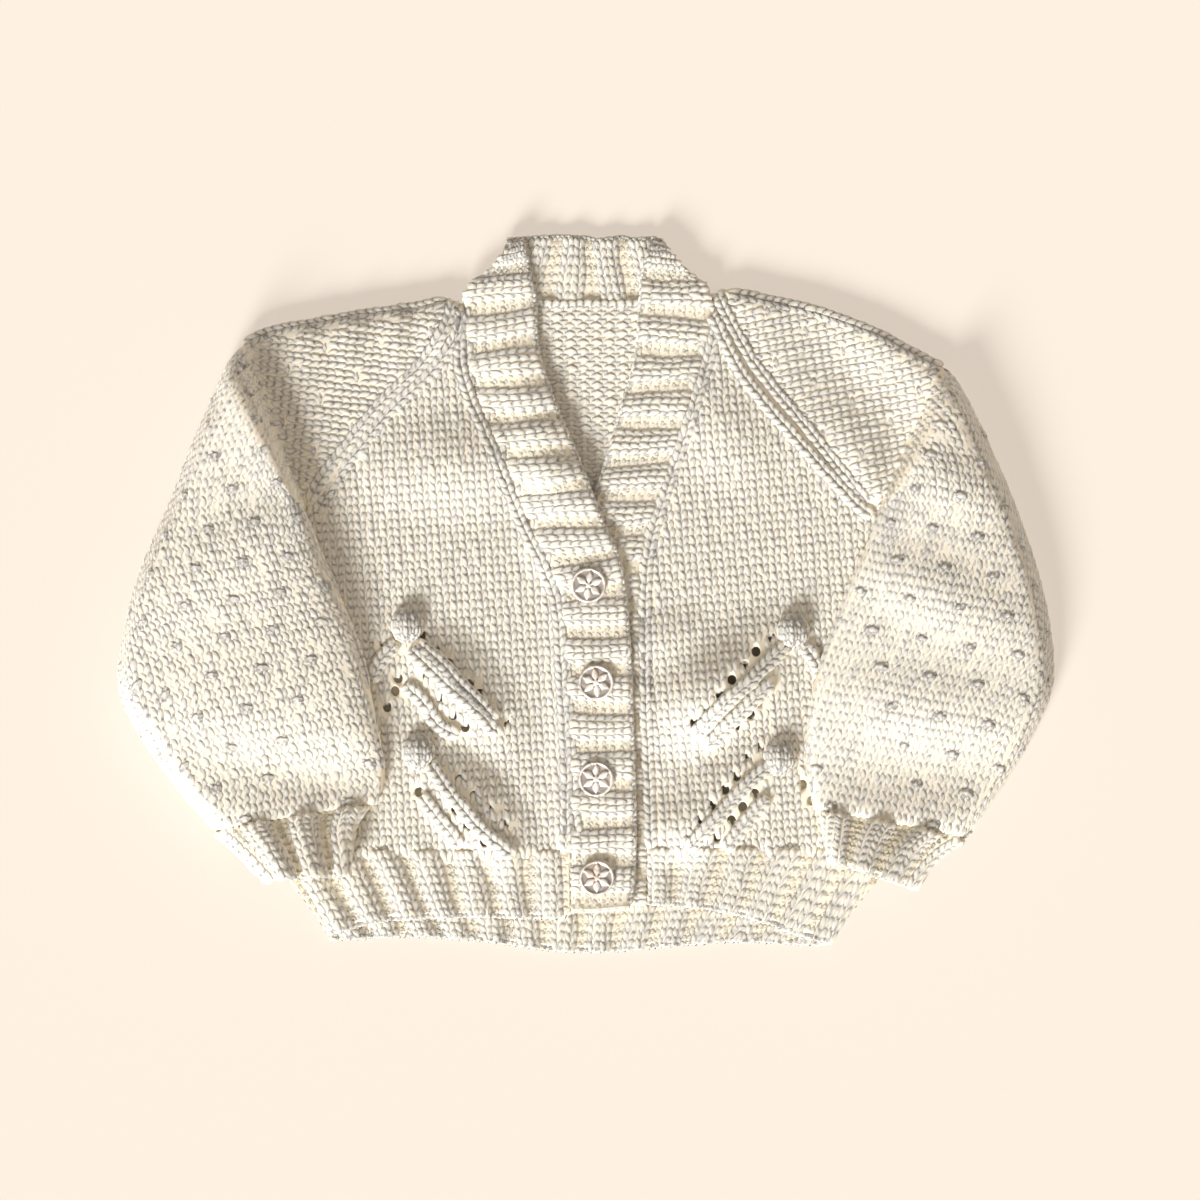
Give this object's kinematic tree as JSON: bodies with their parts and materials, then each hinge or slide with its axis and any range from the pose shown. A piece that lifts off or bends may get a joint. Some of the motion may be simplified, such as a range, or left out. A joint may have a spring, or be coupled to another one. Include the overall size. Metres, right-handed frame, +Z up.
{
  "type": "baby cardigan",
  "caption": "Hand-knitted V-neck raglan baby cardigan, laid flat and buttoned, sleeves folded down, with ribbed band, cuffs and hems and cabled lace motifs on the fronts.",
  "frame": {"origin": "middle of the bounding box, on the surface that the cardigan lies on", "axes": "+X across the garment towards the wearer's left sleeve, +Y from hem to neck, +Z up out of the front"},
  "size_m": [0.3279, 0.2482, 0.0144],
  "materials": {
    "cream_yarn": "soft matte acrylic yarn, double-knitting weight, hand knitted",
    "pearl_button": "pearly grey-white casein-look plastic with a flower in relief"
  },
  "bodies": {
    "root": {"back": "cream_yarn", "back_neckband": "cream_yarn", "back_welt": "cream_yarn", "bobble_left_lower": "cream_yarn", "bobble_left_upper": "cream_yarn", "bobble_right_lower": "cream_yarn", "bobble_right_upper": "cream_yarn", "button_1": "pearl_button", "button_2": "pearl_button", "button_3": "pearl_button", "button_4": "pearl_button", "left_band": "cream_yarn", "left_cuff": "cream_yarn", "left_front": "cream_yarn", "left_sleeve": "cream_yarn", "left_welt": "cream_yarn", "right_band": "cream_yarn", "right_cuff": "cream_yarn", "right_front": "cream_yarn", "right_sleeve": "cream_yarn", "right_welt": "cream_yarn"}
  },
  "joints": []
}
